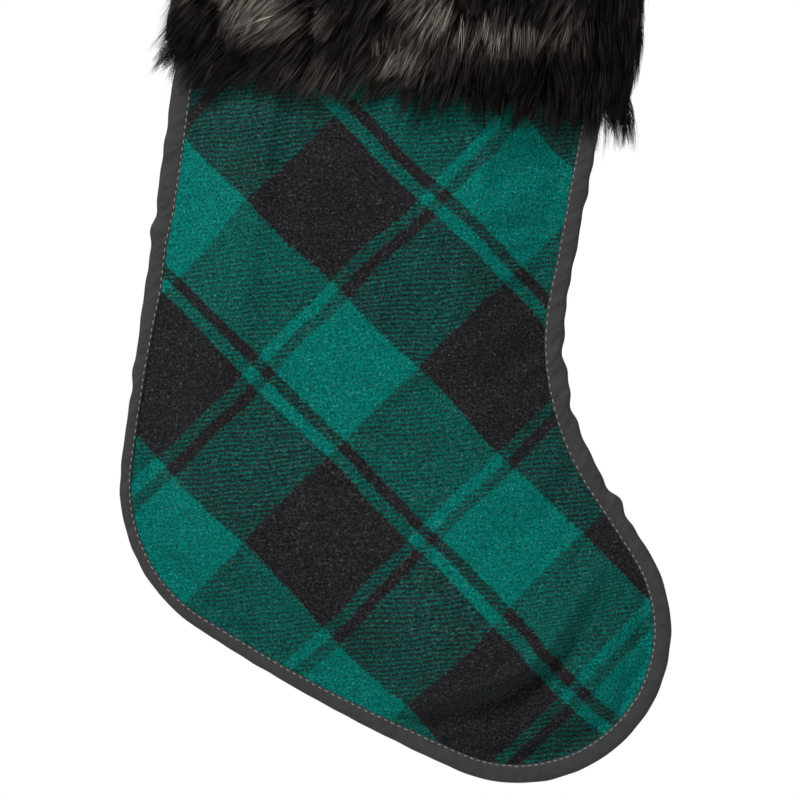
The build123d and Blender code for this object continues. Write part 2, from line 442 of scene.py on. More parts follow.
def thread(name, dark, light):
    """Twisted sewing thread."""
    s = Shader(name, {"Specular IOR Level": 0.4, "Sheen Weight": 0.2})
    ply = s.math("SINE", s.math("MULTIPLY", s.along((ACROSS + UP) / math.sqrt(2)), 2 * math.pi / 0.7))
    # Painted shade and highlight: the colour is dark in the twist's grooves and light on its ridges.
    colour = s.blend(s.between(ply, 0.5, 1.0), dark, light)
    return s.finish(colour, 0.6, s.bump(ply, 0.08))


def lining_cloth():
    """Smooth black lining with the long soft highlights of satin."""
    s = Shader("lining_satin", {"Specular IOR Level": 0.5, "Sheen Weight": 0.2, "Anisotropic": 0.4})
    ribs = s.math("SINE", s.math("MULTIPLY", s.along(ACROSS), 2 * math.pi / 0.6))
    folds = s.noise(18, 3, (1, 1, 0.35))
    # Painted highlight and shade: the colour is lighter where the folds stand high and darker in their
    # hollows.
    colour = s.blend(folds, rgb(16, 15, 17), rgb(34, 32, 35))
    height = s.math("MULTIPLY_ADD", ribs, 0.1, folds)
    return s.finish(colour, s.between(folds, 0.34, 0.5), s.bump(height, 0.4))


def fur_backing():
    """The knit that carries the pile, seen only between the hairs."""
    s = Shader("fur_backing", {"Specular IOR Level": 0.15})
    knit = weave(s, 1.6)
    # Painted shade: the colour is darker where the knit lies low and lighter on its raised loops.
    colour = s.blend(s.between(knit, 0.5, 1), rgb(10, 9, 9), rgb(24, 22, 21))
    return s.finish(colour, 0.95, s.bump(knit, 0.3))


def fur_pile():
    """The hairs: black, and brown-grey where the light catches some.

    On their map, v runs along a hair and u is how much it is lit."""
    s = Shader("fur_pile", {"Sheen Weight": 0.0})
    uv = s.add("UVMap", uv_map="OFBake").outputs["UV"]
    split = s.add("SeparateXYZ", {0: uv})
    lit, along = split.outputs[0], split.outputs[1]
    # The painted highlight lies along the middle of each hair: none at the root, left dark as painted shade
    # deep in the pile, and less at the tip.
    rising = s.add("MapRange", {0: along, 1: 0.15, 2: 0.65, 3: 0.0, 4: 1.0}).outputs[0]
    fading = s.add("MapRange", {0: along, 1: 0.8, 2: 1.0, 3: 1.0, 4: 0.45}).outputs[0]
    gleam = s.math("MULTIPLY", lit, s.math("MULTIPLY", rising, fading))
    colour = s.blend(gleam, rgb(3, 3, 3), rgb(240, 226, 212))
    s.feed(s.principled.inputs["Specular IOR Level"], s.between(gleam, 0.03, 0.5))
    return s.finish(colour, s.between(along, 0.5, 0.36))


wool = plaid_wool()
tape = tape_cloth()
satin = lining_cloth()
backing = fur_backing()
pile = fur_pile()
edge_thread = thread("topstitch_thread", rgb(92, 94, 92), rgb(168, 170, 166))
seam_thread = thread("seam_thread", rgb(16, 16, 17), rgb(60, 60, 62))


# ------------------------------------------------------------------ the cloth sides
CLOTH_INSET = 4                   # the cloth's cut edge, inside the fold of the binding
CLOTH_STEP = 4
FINE_REACH = 10                   # the mesh is finer this close to the toe fold
WOOL_THICKNESS = 1.4
SLACK = 2.6                       # how far the simulated wool may move off the CAD's belly
LINING_THICKNESS = 0.6


def rows_of(low, high, step):
    """Points of an even triangle grid between two corners."""
    rows = np.arange(low[1], high[1], step * math.sqrt(3) / 2)
    columns = np.arange(low[0], high[0], step)
    return np.array([(u + step / 2 * (i % 2), v) for i, v in enumerate(rows) for u in columns])


def cloth_layout(inset, step, fine_path=None):
    """A triangle mesh over the leg's outline, finer beside a path.

    Returned as its points in the sewing frame and its faces."""
    seam = to_mouth(seam_curve(step, inset)[0])
    count = round((seam[-1, 0] - seam[0, 0]) / step)
    mouth = np.linspace(seam[-1, 0], seam[0, 0], count + 1)[1:-1]
    edge = np.vstack([seam, np.column_stack([mouth, 0 * mouth])])
    grid = rows_of(edge.min(0), edge.max(0), step)
    if fine_path is not None:
        path = np.array(fine_path, float)
        spots = np.vstack([a + (b - a) * share for a, b in zip(path, path[1:]) for share in (0, 0.5, 1)])
        fine = rows_of(path.min(0) - FINE_REACH, path.max(0) + FINE_REACH, step / 2)
        coarse = grid[distance_to(grid, spots) > FINE_REACH]
        grid = np.vstack([coarse, fine[distance_to(fine, spots) < FINE_REACH]])
    grid = grid[inside(grid, edge)]
    grid = grid[distance_to(grid, edge) > 0.6 * step]
    points = [Vector(p) for p in np.vstack([edge, grid])]
    ring = [(k, (k + 1) % len(edge)) for k in range(len(edge))]
    points, _, faces = geometry.delaunay_2d_cdt(points, ring, [], 1, 1e-5)[:3]
    return np.array(points), faces


def crease(points, path, widths, depth, ridge=0.0):
    """A soft fold along a path of the sewing frame.

    It is a valley, steep on the path's right, and a ridge beside that."""
    path = np.array(path, float)
    height = np.zeros(len(points))
    nearest = np.full(len(points), np.inf)
    total = np.linalg.norm(np.diff(path, axis=0), axis=1).sum()
    run = 0.0
    for start, end in zip(path, path[1:]):
        length = np.linalg.norm(end - start)
        heading = (end - start) / length
        ahead = np.clip((points - start) @ heading, 0, length)
        gap = points - start - ahead[:, None] * heading
        across = gap @ np.array([-heading[1], heading[0]])
        reach = np.linalg.norm(gap, axis=1)
        here = reach < nearest
        nearest[here] = reach[here]
        fade = np.sin(math.pi * np.clip((run + ahead) / total, 0.02, 0.98)) ** 0.7
        beyond = np.sqrt(np.maximum(reach**2 - across**2, 0)) / widths[1]
        width = np.where(across > 0, widths[1], widths[0])
        valley = -depth * np.exp(-((across / width) ** 2))
        fold = valley + ridge * np.exp(-((across / widths[0] + 2.0) ** 2) / 1.2)
        height[here] = (fold * fade * np.exp(-(beyond**2)))[here]
        run += length
    return height


def shifted(points):
    """How far the cloth has slid in its own plane, across and up, against an even layout."""
    slide = np.zeros((len(points), 2))
    for u, v, reach, across, up in CLOTH_SLIDES:
        near = np.exp(-((points[:, 0] - u) ** 2 + (points[:, 1] - v) ** 2) / reach**2)
        slide += near[:, None] * [across, up]
    fold = np.array(TOE_FOLD, float)
    heading = (fold[-1] - fold[0]) / np.linalg.norm(fold[-1] - fold[0])
    beyond = (points - fold[0]) @ np.array([-heading[1], heading[0]])
    return slide + smooth_step(beyond, -14, 12)[:, None] * TOE_SLIDE


def simulate(piece, pins, pressure, slack):
    """Blows the cloth up against its pinned seam, and keeps every point within slack of where it started."""
    start = np.array([v.co for v in piece.data.vertices])
    group = piece.vertex_groups.new(name="seam")
    for k, weight in enumerate(pins):
        if weight > 0:
            group.add([k], float(weight), "REPLACE")
    modifier = piece.modifiers.new("Cloth", "CLOTH")
    settings = modifier.settings
    settings.quality = 6
    settings.mass = 0.25
    settings.tension_stiffness = settings.compression_stiffness = 18
    settings.shear_stiffness = 8
    settings.bending_stiffness = 1.2
    settings.vertex_group_mass = "seam"
    settings.use_pressure = True
    settings.uniform_pressure_force = pressure
    settings.shrink_min = -0.035
    settings.effector_weights.gravity = 0
    modifier.point_cache.frame_start, modifier.point_cache.frame_end = 1, 20
    for number in range(1, 21):
        bpy.context.scene.frame_set(number)
    posed = piece.evaluated_get(bpy.context.evaluated_depsgraph_get())
    moved = np.array([v.co for v in posed.data.vertices]) - start
    piece.modifiers.remove(modifier)
    piece.vertex_groups.remove(group)
    bpy.context.scene.frame_set(1)
    reach = np.linalg.norm(moved, axis=1, keepdims=True)
    limit = slack * MM
    moved *= np.where(reach > 0, limit * np.tanh(reach / limit) / np.maximum(reach, 1e-9), 0)
    piece.data.vertices.foreach_set("co", (start + moved).ravel())
    piece.data.update()


TOE_FOLD = (
    (134, -336), (128, -349), (120, -365), (113, -377),
    (104, -387), (90, -398), (72, -407), (50, -417),
)
TOE_PINCH = ((121, -361), (115, -372), (108, -381), (99, -389), (84, -398), (66, -408))
FOLDS = (                          # path in the sewing frame, widths of its two sides, depth, ridge beside it
    (TOE_FOLD, (4.2, 12), 6.4, 2.8),
    (TOE_PINCH, (2.6, 5.0), 3.4, 0.8),
    (((92, -300), (76, -318), (70, -340)), (8, 10), 1.6, 0.9),
    (((96, -120), (84, -160), (86, -205)), (12, 14), 1.3, 0.6),
    (((-100, -150), (-88, -190), (-90, -235)), (11, 13), 1.0, 0.5),
    (((-60, -355), (-30, -372), (10, -385)), (11, 13), 0.9, 0.5),
)
CLOTH_SLIDES = (                   # centre, reach, and slide across and up, in millimetres
    (-53, -152, 48, 4.2, 0.4),
    (-60, -385, 70, -2.0, -0.8),
    (60, -300, 60, 0.4, 0.2),
)
TOE_SLIDE = (8.0, -4.6)            # beyond the toe fold, which takes up some cloth


def wool_side(name, side, node, folds):
    points, faces = cloth_layout(CLOTH_INSET, CLOTH_STEP, TOE_FOLD if folds is FOLDS else None)
    lift = STACK + belly(points) - SEAM_OPENING * (seam_reach(points) > 0)
    pouch = seam_reach(points) > 0
    mesh = new_mesh(name, place(points[:, 0], points[:, 1], side * lift), turned(faces, side))
    slide = shifted(points) * MM
    lay = mesh.attributes.new(LAY, "FLOAT_VECTOR", "POINT")
    lay.data.foreach_set("vector", (slide[:, :1] * ACROSS + slide[:, 1:] * UP).astype(np.float32).ravel())
    piece = new_piece(name, mesh, wool)
    simulate(piece, np.where(pouch, 0, 1) + 0.8 * (points[:, 1] > -1), 3.0 * side, SLACK)
    thicken(piece, WOOL_THICKNESS)
    co = np.array([v.co for v in mesh.vertices])
    points = np.column_stack([(co - ORIGIN) @ ACROSS, (co - ORIGIN) @ UP]) / MM
    shift = sum(crease(points, *fold) for fold in folds) * smooth_step(seam_reach(points), 0, 7)
    co += OUT * (side * shift * MM)[:, None]
    mesh.vertices.foreach_set("co", co.ravel())
    mesh.update()
    keep_inside(side, co, points)
    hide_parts(node)
    return piece


WOOL_INSIDE = {}


def keep_inside(side, co, points):
    """Keeps where one side's wool lies, for the lining to stay under."""
    out = (co - ORIGIN) @ OUT / MM * side
    tree = kdtree.KDTree(len(points))
    for k, point in enumerate(points):
        tree.insert((*point, 0), k)
    tree.balance()
    WOOL_INSIDE[side] = tree, out


def wool_inside(side, points):
    tree, inner = WOOL_INSIDE[side]
    return np.array([min(inner[k] for _, k, _ in tree.find_n((*point, 0), 16)) for point in points])


def lining_side(name, side, node):
    points, faces = cloth_layout(CLOTH_INSET, 6)
    pouch = smooth_step(seam_reach(points), 0, 30)
    folds = wobble(points[:, 0] + 0.3 * points[:, 1], (41, 27, 17), 5)
    folds *= wobble(points[:, 1], (190, 120), 6 + side)
    lift = LINING_FACE + belly(points) + LINING_THICKNESS - SEAM_OPENING * (seam_reach(points) > 0)
    lift -= pouch * (1.0 + 0.9 * folds) * smooth_step(-points[:, 1], 2, 30)
    lift = np.minimum(lift, wool_inside(side, points) - 0.4)
    mesh = new_mesh(name, place(points[:, 0], points[:, 1], side * lift), turned(faces, side))
    piece = new_piece(name, mesh, satin)
    thicken(piece, LINING_THICKNESS)
    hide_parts(node)
    return piece


wool_side("front_panel_cloth", FRONT, "front_panel", FOLDS)
wool_side("back_panel_cloth", BACK, "back_panel", FOLDS[2:])
lining_side("front_lining_cloth", FRONT, "front_lining")
lining_side("back_lining_cloth", BACK, "back_lining")


# ------------------------------------------------------------------ the bound edge
TAPE_THICKNESS = 0.9
BINDING_STEP = 1.4
FRONT_WIDTH = (                   # the front cheek's width along the edge, in millimetres
    (0, 10), (150, 10.2), (180, 9.8), (196, 8.2), (220, 8.6), (240, 7.2), (262, 6.2), (290, 5.8), (385, 5.7),
    (420, 6.7), (470, 7.1), (500, 8), (530, 8.9), (560, 9.2), (600, 9.7), (640, 9.4), (700, 8.9), (750, 8.8),
    (790, 9.9), (860, 9.8), (900, 8.8), (950, 9.2), (1100, 9.8),
)
EDGE_PUCKER = (                   # where along the edge the tape ripples, and how much, in millimetres
    (0, 0.4), (120, 0.3), (180, 0.7), (220, 0.5), (300, 0.3), (380, 0.12), (640, 0.12), (735, 0.25),
    (760, 0.8), (800, 1.0), (840, 1.0), (890, 0.8), (940, 0.35), (1010, 0.3), (1200, 0.3),
)
CROWN = 0.5                       # how far the tape stands up between its edges


def folded_section(stack, thickness):
    """A folded tape's section, once round.

    Each point is (share of its width in from the folded edge, out of the seam's plane)."""
    face = stack + thickness
    cheek = [(1, stack + 0.1), (1, face - 0.35), (0.965, face - 0.05)]
    shares = (0.91, 0.82, 0.7, 0.57, 0.44, 0.32, 0.21)
    cheek += [(d, face + CROWN * math.sin(math.pi * d) ** 0.8) for d in shares]
    turns = np.radians((68, 50, 34, 20, 8))
    bend = [(0.15 * (1 - math.cos(a)), (face + 0.1) * math.sin(a) ** 0.75) for a in turns]
    outer = cheek + bend
    outer += [(d, -z) for d, z in outer[::-1]]
    inner = [(0.13, -stack / 2), (0.18, -stack + 0.15), (0.5, -stack), (0.95, -stack)]
    return np.array(outer + inner + [(d, -z) for d, z in inner[::-1]])


def edge_ripple(along, low, seed):
    """How far the outer edge wanders, along its length."""
    amount = np.interp(along, *np.array(EDGE_PUCKER).T)
    swell = smooth_step(wobble(along, (83, 57), seed + 50), -0.8, 0.9)
    return amount * (0.35 + 0.9 * swell) * wobble(along, (low, low * 0.66, low * 0.43), seed)


def bound_edge(name, points, normals, along, stack, widths, ripple, sway, node):
    """A tape folded over an edge that runs through points, with puckers where the ripple is."""
    section = folded_section(stack, TAPE_THICKNESS)
    share, out = section.T
    width = np.where(out > 0, widths[0][:, None], widths[1][:, None])
    depth = share * width
    towards_edge = 1 - smooth_step(share, 0.08, 0.85)
    skew = along[:, None] + 0.8 * depth * np.sign(out)
    face = np.abs(out) > stack + 0.3
    amount = 0.45 + np.abs(ripple[:, None]) + np.interp(along, *np.array(EDGE_PUCKER).T)[:, None]
    puff = 0.22 * wobble(skew, (13.3, 8.1, 5.2), 9) * np.sin(math.pi * share)
    stitch = (depth - width + STITCH_EDGE) / 0.7
    dip = -0.22 * np.exp(-stitch**2) * (0.6 + 0.4 * np.cos(2 * math.pi * along[:, None] / STITCH_PITCH))
    rise = out + np.sign(out) * face * (puff * amount + dip) + sway[:, None] * towards_edge
    shape = points[:, None] + normals[:, None] * (depth + ripple[:, None] * towards_edge)[..., None]
    places = place(shape[..., 0], shape[..., 1], rise).reshape(-1, 3)
    faces = tube_faces(len(points), len(section))
    piece = new_piece(name, new_mesh(name, places, faces), tape)
    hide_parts(node)


def front_width(along):
    return np.interp(along, *np.array(FRONT_WIDTH).T)


def edge_binding_tape():
    points, normals, along = seam_curve(BINDING_STEP)
    points = to_mouth(points)
    normals = np.vstack([normals[:1], normals, normals[-1:]])
    along = np.concatenate([[0], along, [along[-1] + BINDING_STEP / 2]])
    widths = front_width(along), np.full(len(along), BINDING_WIDTH)
    ripple, sway = edge_ripple(along, 34, 3), 0.7 * edge_ripple(along, 47, 4)
    bound_edge("edge_binding_tape", points, normals, along, STACK, widths, ripple, sway, "edge_binding")


# ------------------------------------------------------------------ stitches
STITCH_PITCH = 3.65
STITCH_LENGTH = 2.5
STITCH_THREAD = 0.56
STITCH_EDGE = 0.8                 # in from the tape's free edge


def stitches(name, material, slot, starts, ends, outwards, thick, body=STOCKING):
    """A row of stitches, each a bowed length of thread whose ends sink into the cloth.

    Places are in metres."""
    sides, rings = 6, 7
    ring = np.linspace(0, 2 * math.pi, sides, endpoint=False)
    t = np.linspace(0, 1, rings)
    bow = np.sin(math.pi * t) ** 0.6
    size = thick / 2 * (0.45 + 0.55 * bow)
    length = ends - starts
    heading = length / np.linalg.norm(length, axis=1, keepdims=True)
    sideways = np.cross(heading, outwards)
    lift = ((bow - 0.75) * thick)[None, :, None]
    spine = starts[:, None] + length[:, None] * t[None, :, None] + outwards[:, None] * lift
    wide = sideways[:, None, None] * (size[:, None] * np.cos(ring))[None, ..., None]
    tall = outwards[:, None, None] * (size[:, None] * np.sin(ring) * 0.8)[None, ..., None]
    points = (spine[:, :, None] + wide + tall).reshape(-1, 3)
    one = tube_faces(rings, sides)
    faces = [tuple(k + i * sides * rings for k in face) for i in range(len(starts)) for face in one]
    return new_piece(name, new_mesh(name, points, faces), material, body)


def topstitching(name, side, node):
    points, normals, along = seam_curve(STITCH_PITCH)
    random = np.random.default_rng(11 + side)
    width = front_width(along) if side == FRONT else np.full(len(along), BINDING_WIDTH)
    points = points + normals * (width - STITCH_EDGE)[:, None]
    heading = np.gradient(points, axis=0)
    heading /= np.linalg.norm(heading, axis=1, keepdims=True)
    centre = points + normals * random.normal(0, 0.07, (len(points), 1))
    tilt = heading + normals * random.normal(0, 0.05, (len(points), 1))
    half = STITCH_LENGTH / 2 * random.uniform(0.86, 1.06, (len(points), 1))
    out = np.full(len(points), STACK + TAPE_THICKNESS + 0.12)
    starts, ends = (place(*(centre + sign * half * tilt).T, side * out) for sign in (-1, 1))
    outwards = np.tile(OUT * float(side), (len(points), 1))
    piece = stitches(name, edge_thread, "topstitch_thread", starts, ends, outwards, STITCH_THREAD * MM)
    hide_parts(node)


edge_binding_tape()
topstitching("topstitching_front", FRONT, "binding_stitching_front")
topstitching("topstitching_back", BACK, "binding_stitching_back")


# ------------------------------------------------------------------ the cuff
CUFF_HEEL, CUFF_TOE = -119, 110.5  # where its two sides are sewn together
CUFF_HEM = -98
CUFF_SKIN = 5.0                   # backing's face off the inside of the leg's cloth
FOLD_DROP = 4                     # how far the cuff turns down inside the mouth
BACKING_THICKNESS = 1.2
KNIT_STEP = 3


def cuff_backing(u, w):
    """A point of the cuff's backing, w along it from the hem up and over the mouth, and its outward normal.

    Returned as (v, out, normal's up part, normal's out part)."""
    bottom = np.column_stack([u, np.full(len(u), -1.0)])
    low = np.column_stack([u, np.clip(CUFF_HEM + w, CUFF_HEM, -1.0)])
    ends = np.minimum(u - CUFF_HEEL, CUFF_TOE - u)
    close = 3.0 * (1 - smooth_step(ends, 0, 4.5))
    outer = CUFF_SKIN + belly(low) - close
    inner = belly(bottom) - 0.7
    outer_top = CUFF_SKIN + belly(bottom) - close
    radius = (outer_top - inner) / 2
    rise = -CUFF_HEM
    turn = np.clip((w - rise) / radius, 0, math.pi)
    down = np.maximum(w - rise - math.pi * radius, 0)
    v = np.where(w < rise, CUFF_HEM + w, radius * np.sin(turn) - down)
    out = np.where(w < rise, outer, inner + radius + radius * np.cos(turn))
    return v, out, np.where(w < rise, 0, np.sin(turn)), np.where(w < rise, 1, np.cos(turn))


CUFF_RUN = -CUFF_HEM + 3 * math.pi + FOLD_DROP


def cuff_ground(name, side, node):
    u = np.linspace(CUFF_HEEL, CUFF_TOE, round((CUFF_TOE - CUFF_HEEL) / KNIT_STEP))
    w = np.concatenate([np.linspace(0, -CUFF_HEM - 1, 33), np.linspace(-CUFF_HEM, CUFF_RUN, 14)])
    uu, ww = np.meshgrid(u, w)
    v, out, _, _ = cuff_backing(uu.ravel(), ww.ravel())
    faces = ring_faces(len(w), len(u), closed_ring=False)
    mesh = new_mesh(name, place(uu.ravel(), v, side * out), turned(faces, side))
    piece = new_piece(name, mesh, backing)
    thicken(piece, BACKING_THICKNESS)
    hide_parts(node)
    return piece


# Fur: hairs are narrow ribbons, gathered into fine wisps and wider locks, and the locks into tufts.
STRAND_RINGS = 5
STRAND_WIDTH = 0.15
STRANDS = 24000                   # hairs in each mesh
STRAND_PIECES = 3                 # meshes for each half of the cuff
WISP, LOCK, TUFT = 0.8, 3.4, 12   # spacing of wisps, locks and tufts
PILE_LENGTH = 23
PILE_LIFT = 6.5
PILE_LEAN = ((-113, 21), (-98, 28), (-70, 33), (-20, 24), (40, 8), (109, -9))  # across, and degrees
PILE_GROWTH = ((-113, 1.15), (-60, 1.3), (0, 1.12), (50, 1.0), (109, 1.1))     # across, and share of length
CALM_FROM, CALM_TO = 55, 100      # across the cuff, where the tufts begin to lie more evenly
LIT_PATCHES = (                   # painted highlights on the pile: centre in the sewing frame, reaches and strength
    (-92, -72, 20, 8, 0.95),
    (-79, -82, 17, 9, 0.9),
    (-55, -82, 16, 10, 0.4),
    (2, -64, 13, 8, 0.85),
    (18, -73, 19, 9, 1.0),
    (-3, -94, 16, 8, 0.75),
    (40, -78, 15, 5, 0.8),
    (76, -66, 7, 11, 0.75),
    (60, -74, 15, 4, 0.5),
    (-40, -108, 20, 7, 0.25),
    (-30, -45, 22, 9, 0.7),
    (40, -38, 24, 8, 0.8),
    (88, -30, 14, 9, 0.6),
    (-90, -35, 18, 8, 0.7),
    (0, -14, 26, 7, 0.7),
    (-60, -8, 20, 6, 0.6),
    (70, -6, 20, 6, 0.6),
    (0, 4, 150, 9, 0.4),
)
# The painted highlight's level away from every patch, where the pile is painted dark.
LEAST_LIT = 0.06
HEM_SAG = 5                       # how much lower the hem's hairs start on the heel side
BARE_STRIP, BARE_ABOVE = 7, 20    # the heel side's tape shows here, so hairs start further in
FLARE_FROM, FLARE_TO = 92, 112    # off the cuff's middle, where the pile spreads past its sides
RIM_SPRING = 8                    # how far the hairs on the rim spring up before they fall over the front
RIM_FROM, RIM_TO = 91, 99         # along the backing from the hem, where that begins
RIM_BARE = 2.4                    # no hairs this far short of where the cuff turns down inside


def gathered(roots, spacing, random):
    """For each root, the centre of the lock it belongs to, and that lock's number."""
    low, high = roots.min(0), roots.max(0)
    count = np.maximum(((high - low) / spacing).astype(int), 1)
    spots = random.uniform(low, high, (int(count[0] * count[1]), 2))
    tree = kdtree.KDTree(len(spots))
    for k, spot in enumerate(spots):
        tree.insert((*spot, 0), k)
    tree.balance()
    number = np.array([tree.find((*root, 0))[1] for root in roots])
    return spots, number


def mean_by(number, values, count):
    """Each value's group mean, for rows grouped by number."""
    size = np.maximum(np.bincount(number, minlength=count), 1)
    sums = np.column_stack([np.bincount(number, column, count) for column in values.T])
    return (sums / size[:, None])[number]


def pile_flow(u, random_turn):
    """The direction the pile lies in, as an angle from straight down towards the heel side."""
    calm = 1 - 0.75 * smooth_step(u, CALM_FROM, CALM_TO)
    sweep = np.radians(np.interp(u, *np.array(PILE_LEAN).T))
    return sweep + calm * random_turn


def lit(u, v):
    """How much painted highlight the pile gets at a place of the sewing frame, 0 to 1."""
    dull = np.ones(np.shape(u))
    for centre_u, centre_v, reach_u, reach_v, strength in LIT_PATCHES:
        dull *= 1 - strength * np.exp(-(((u - centre_u) / reach_u) ** 2) - ((v - centre_v) / reach_v) ** 2)
    return LEAST_LIT + (1 - LEAST_LIT) * (1 - dull)


def hair_roots(random):
    """Where the hairs start, across the cuff and along its backing from the hem."""
    total = STRANDS * STRAND_PIECES
    roots = np.column_stack([
        random.uniform(CUFF_HEEL + 4, CUFF_TOE - 1, total),
        random.uniform(0, CUFF_RUN - FOLD_DROP - RIM_BARE, total),
    ])
    lower = smooth_step(-roots[:, 0], 10, 60) - smooth_step(-roots[:, 0], 88, 112)
    roots[:, 1] -= HEM_SAG * lower * smooth_step(-roots[:, 1], -25, -5)
    bare = (roots[:, 0] < CUFF_HEEL + BARE_STRIP) & (roots[:, 1] > BARE_ABOVE)
    roots[bare, 0] += 5 + 60 * random.random(bare.sum())
    return roots


def tips_of(where, length, lift, turn):
    """Where hairs' tips lie, in the backing's own (u, w) and out of it."""
    angle = pile_flow(where[:, 0], turn)
    across = where[:, 0] - length * np.sin(angle)
    return np.column_stack([across, where[:, 1] - length * np.cos(angle), lift])


def hair_tips(random, roots):
    """The hairs' tips, drawn towards their wisp, lock and tuft, and the tone of each hair's wisp, which also
    sets how deep the wisp lies, so darker wisps lie deeper as painted shade.
    """
    total = len(roots)
    locks, lock = gathered(roots, LOCK, random)
    tufts, tuft = gathered(locks, TUFT, random)
    wisps, wisp = gathered(roots, WISP, random)
    own_tuft = tuft[lock]
    wisp_tone_and_depth_shade = random.random(len(wisps))[wisp]
    tuft_turn = random.normal(0, 0.2, len(tufts))
    tuft_length = random.uniform(0.85, 1.1, len(tufts))
    tuft_lift = random.uniform(0.35, 1.5, len(tufts))
    lock_turn = random.normal(0, 0.15, len(locks))
    lock_length = random.uniform(0.8, 1.15, len(locks))
    lock_lift = random.uniform(0.7, 1.3, len(locks))
    longer = np.interp(roots[:, 0], *np.array(PILE_GROWTH).T)
    length = PILE_LENGTH * random.uniform(0.72, 1.08, total)
    length = length * lock_length[lock] * tuft_length[own_tuft] * longer
    lift = PILE_LIFT * random.uniform(0.45, 1.2, total) * lock_lift[lock] * tuft_lift[own_tuft]
    # Darker wisps lie deeper in the pile and lighter ones on top, so their tone also paints the shade between
    # them.
    lift *= 0.75 + 0.5 * wisp_tone_and_depth_shade

    turn = random.normal(0, 0.13, total) + lock_turn[lock] + tuft_turn[own_tuft]
    own = tips_of(roots, length, lift, turn)
    lock_tip = tips_of(
        locks, PILE_LENGTH * lock_length * tuft_length[tuft], PILE_LIFT * lock_lift * tuft_lift[tuft],
        lock_turn + tuft_turn[tuft],
    )
    tuft_tip = tips_of(tufts, PILE_LENGTH * tuft_length, PILE_LIFT * tuft_lift, tuft_turn)
    gather = random.uniform(0.4, 0.85, (total, 1))
    tip = own * (1 - gather) + gather * (0.72 * lock_tip[lock] + 0.28 * tuft_tip[own_tuft])
    joined = random.uniform(0.3, 0.9, (total, 1))
    tip = tip * (1 - joined) + joined * mean_by(wisp, tip, len(wisps))
    tip[:, 2] = np.maximum(tip[:, 2], 1.5)
    return tip, wisp_tone_and_depth_shade


def hair_lines(random, side, roots, tip, t):
    """The hairs' middle lines as places, and where they lie across and up in the sewing frame."""
    total = len(roots)
    curl = random.normal(0, 0.5, (total, 1)) * np.sin(math.pi * t)[None]
    u = roots[:, :1] + (tip[:, :1] - roots[:, :1]) * t**1.15 + curl
    w = roots[:, 1:] + (tip[:, 1:2] - roots[:, 1:]) * t**1.25
    rise = tip[:, 2:] * np.sin(math.pi / 2 * np.minimum(1.5 * t, 1))[None] * (1 - 0.25 * t**2)
    below = np.minimum(w, 0)
    inner_u = np.clip(u, CUFF_HEEL, CUFF_TOE)
    surface = cuff_backing(inner_u.ravel(), np.maximum(w, 0).ravel())
    v, out, up, outward = (x.reshape(u.shape) for x in surface)
    beyond = u - inner_u
    v = v + below + rise * up - 0.15 * np.abs(beyond)
    out = out + rise * outward - 0.35 * np.abs(beyond)
    middle = (CUFF_HEEL + CUFF_TOE) / 2
    flare = smooth_step(np.abs(inner_u - middle), FLARE_FROM, FLARE_TO) * rise * 0.7
    u = u + np.sign(inner_u - middle) * flare * np.where(inner_u > middle, 1.0, 0.25)
    out = out - flare * 0.3
    centre = place(u, v, side * np.maximum(out, 0.5))
    first, half_way, last = centre[:, 0], centre[:, STRAND_RINGS // 2], centre[:, -1]
    draped = blended((first, half_way, last), (2 * (t - 0.5) * (t - 1), 4 * t * (1 - t), 2 * t * (t - 0.5)))
    spring = up[:, :1] * UP + outward[:, :1] * side * OUT
    peak = first + spring * (RIM_SPRING * MM * random.uniform(0.6, 1.3, (total, 1)))
    sprung = blended((first, peak, last), ((1 - t) ** 2, 2 * t * (1 - t), t**2))
    at_rim = smooth_step(roots[:, 1], RIM_FROM, RIM_TO)[:, None, None]
    return draped * (1 - at_rim) + sprung * at_rim, u, v


def blended(spots, shares):
    """A curve for each row of places, from the share each of its places has along the curve."""
    return sum(share[None, :, None] * spot[:, None] for share, spot in zip(shares, spots))


def fur(side):
    random = np.random.default_rng(21 + side)
    roots = hair_roots(random)
    tip, wisp_tone_and_depth_shade = hair_tips(random, roots)
    t = np.linspace(0, 1, STRAND_RINGS)
    centre, u, v = hair_lines(random, side, roots, tip, t)
    total = len(roots)
    along = np.gradient(centre, axis=1)
    along /= np.linalg.norm(along, axis=2, keepdims=True)
    facing = random.normal(0, 0.45, (total, 1, 3)) + OUT * float(side)
    across = np.cross(along, facing)
    across /= np.linalg.norm(across, axis=2, keepdims=True)
    # A hair's tone, partly its own and partly its wisp's, whose darker wisps lie deeper as painted shade.
    shade = 0.4 * random.random(total) + 0.6 * wisp_tone_and_depth_shade
    thick = random.uniform(0.7, 1.3, total) + 0.9 * smooth_step(shade, 0.6, 0.9)
    width = STRAND_WIDTH * MM / 2 * thick[:, None, None] * (1 - t**1.6 * 0.92)[None, :, None]
    points = np.stack([centre - across * width, centre + across * width], axis=2)
    # The tone is then multiplied by the painted highlight of the hair's place.
    shade = shade**3.9 * lit(u[:, 3], v[:, 3])
    order = np.argsort(roots[:, 0])
    place_name = "front" if side == FRONT else "back"
    for k, chosen in enumerate(np.array_split(order, STRAND_PIECES)):
        strand_piece(f"fur_{place_name}_{k + 1}", points[chosen], shade[chosen], t)


